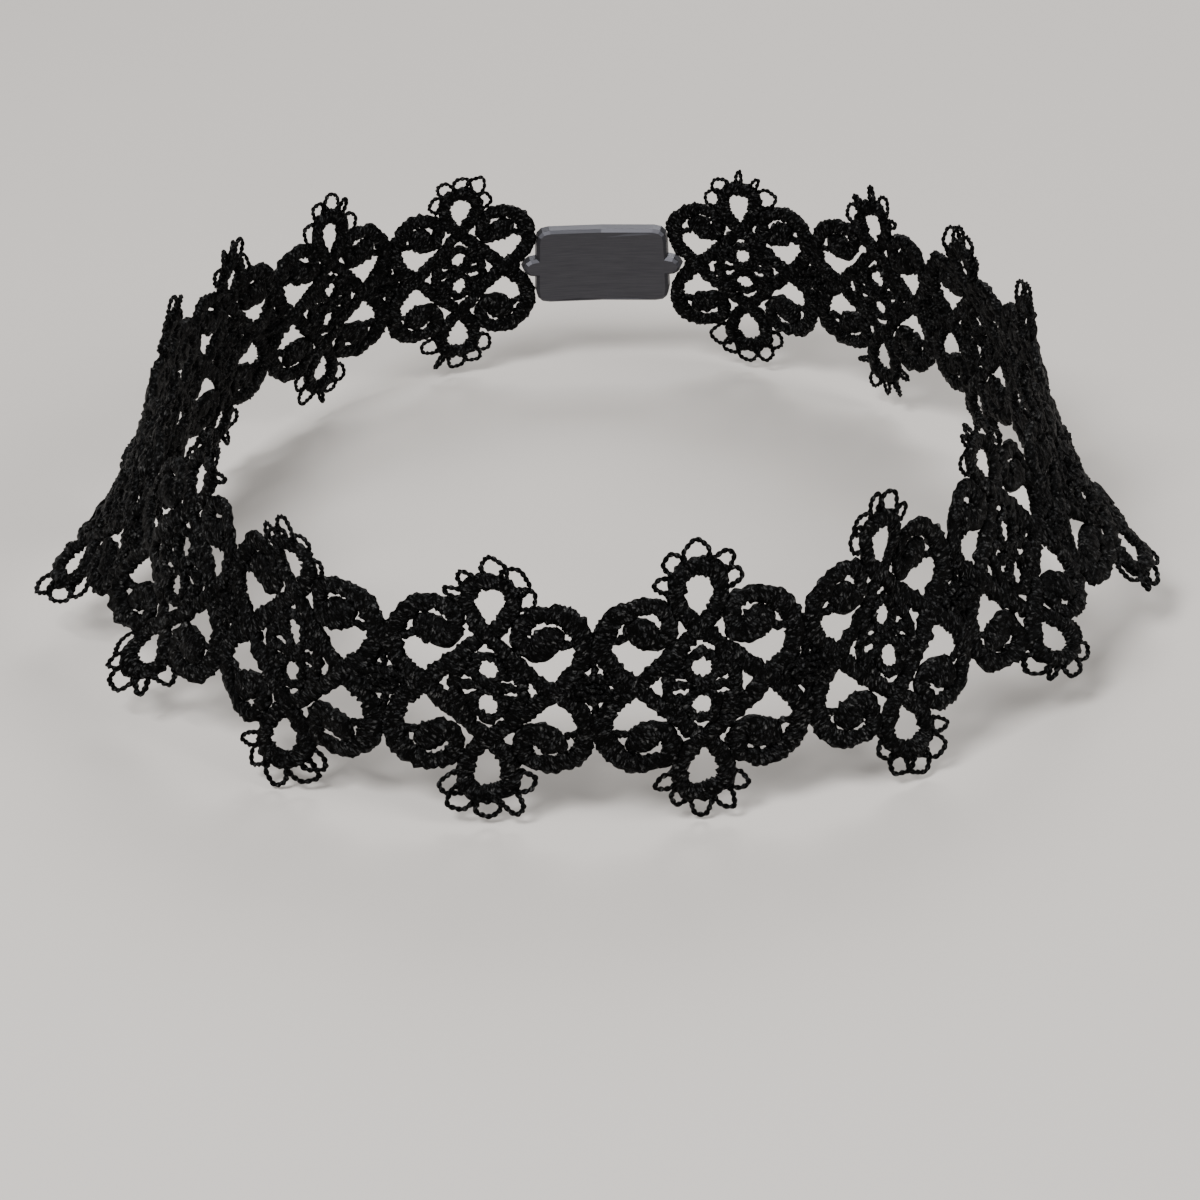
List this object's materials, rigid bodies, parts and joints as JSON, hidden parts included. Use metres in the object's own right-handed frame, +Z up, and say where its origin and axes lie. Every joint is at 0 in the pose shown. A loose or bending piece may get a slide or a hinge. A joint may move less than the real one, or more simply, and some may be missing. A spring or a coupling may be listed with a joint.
{
  "type": "lace choker necklace",
  "caption": "Black guipure lace choker: a flared loop of pierced scroll motifs with teardrops and picots, joined by padded bars and closed by a plain clasp.",
  "frame": {"origin": "middle of the neck that the choker goes round, at the lace's mid-height", "axes": "+Z up the neck, the front of the choker looks along -Y, +X to the right as seen from the front"},
  "size_m": [0.1399, 0.136, 0.0366],
  "materials": {
    "black_thread": "matt twisted embroidery thread",
    "clasp_metal": "dark satin plating"
  },
  "bodies": {
    "root": {"lace_motif_01": "black_thread", "lace_motif_02": "black_thread", "lace_motif_03": "black_thread", "lace_motif_04": "black_thread", "lace_motif_05": "black_thread", "lace_motif_06": "black_thread", "lace_motif_07": "black_thread", "lace_motif_08": "black_thread", "lace_motif_09": "black_thread", "lace_motif_10": "black_thread", "lace_motif_11": "black_thread", "lace_motif_12": "black_thread", "lace_motif_13": "black_thread", "lace_motif_14": "black_thread", "lace_motif_15": "black_thread", "lace_motif_16": "black_thread", "joining_bar_01": "black_thread", "joining_bar_02": "black_thread", "joining_bar_03": "black_thread", "joining_bar_04": "black_thread", "joining_bar_05": "black_thread", "joining_bar_06": "black_thread", "joining_bar_07": "black_thread", "joining_bar_08": "black_thread", "joining_bar_09": "black_thread", "joining_bar_10": "black_thread", "joining_bar_11": "black_thread", "joining_bar_12": "black_thread", "joining_bar_13": "black_thread", "joining_bar_14": "black_thread", "joining_bar_15": "black_thread", "clasp": "clasp_metal"}
  },
  "joints": []
}
